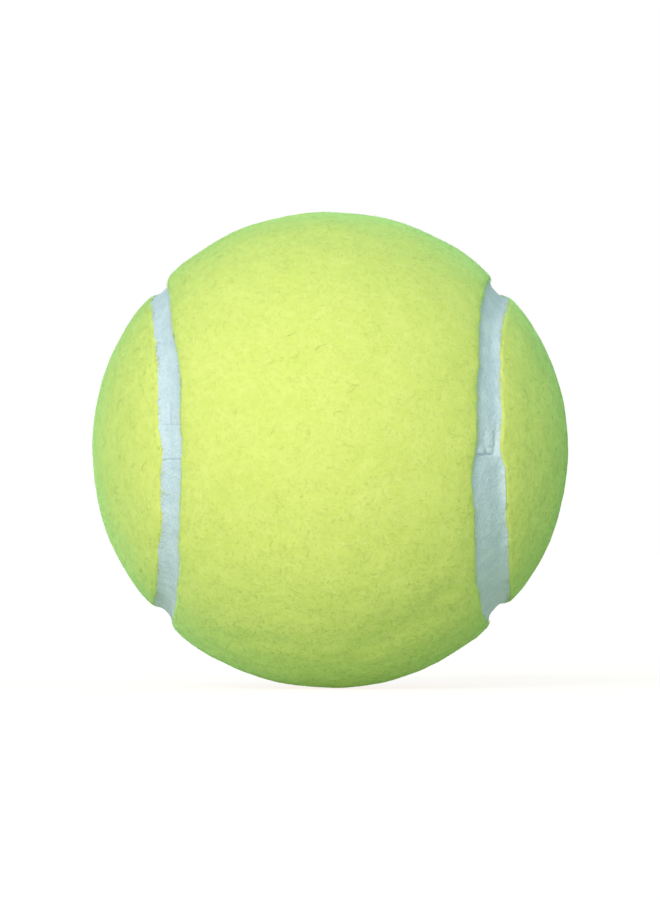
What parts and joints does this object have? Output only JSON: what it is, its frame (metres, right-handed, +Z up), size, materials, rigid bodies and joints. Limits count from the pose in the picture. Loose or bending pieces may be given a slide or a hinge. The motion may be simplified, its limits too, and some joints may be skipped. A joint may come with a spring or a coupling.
{
  "type": "tennis cricket ball",
  "caption": "Hollow rubber ball covered with yellow-green felt in interlocking dog-bone panels, with a sunk pale rubber seam, for soft-ball cricket.",
  "frame": {"origin": "the centre of the ball", "axes": "+Z up, with the core's joint on the level plane; -Y out of the middle of the front panel's waist; +X out of the middle of the back panel's right lobe"},
  "size_m": [0.066, 0.066, 0.066],
  "materials": {
    "felt": "needled and brushed wool and nylon felt, yellow-green, matt, with a short nap",
    "backing_cloth": "woven cotton backing soaked with rubber cement, dull cream",
    "seam_rubber": "moulded rubber, pale blue-grey, matt with a faint sheen",
    "core_rubber": "moulded grey rubber, ground matt outside for the cement",
    "joint_cement": "cured rubber cement, dark, satin"
  },
  "bodies": {
    "root": {"core_half_upper": "core_rubber", "core_half_lower": "core_rubber", "core_joint_cement": "joint_cement", "felt_backing_front": "backing_cloth", "felt_backing_back": "backing_cloth", "felt_panel_front": "felt", "felt_panel_back": "felt", "seam_band": "seam_rubber"}
  },
  "joints": []
}
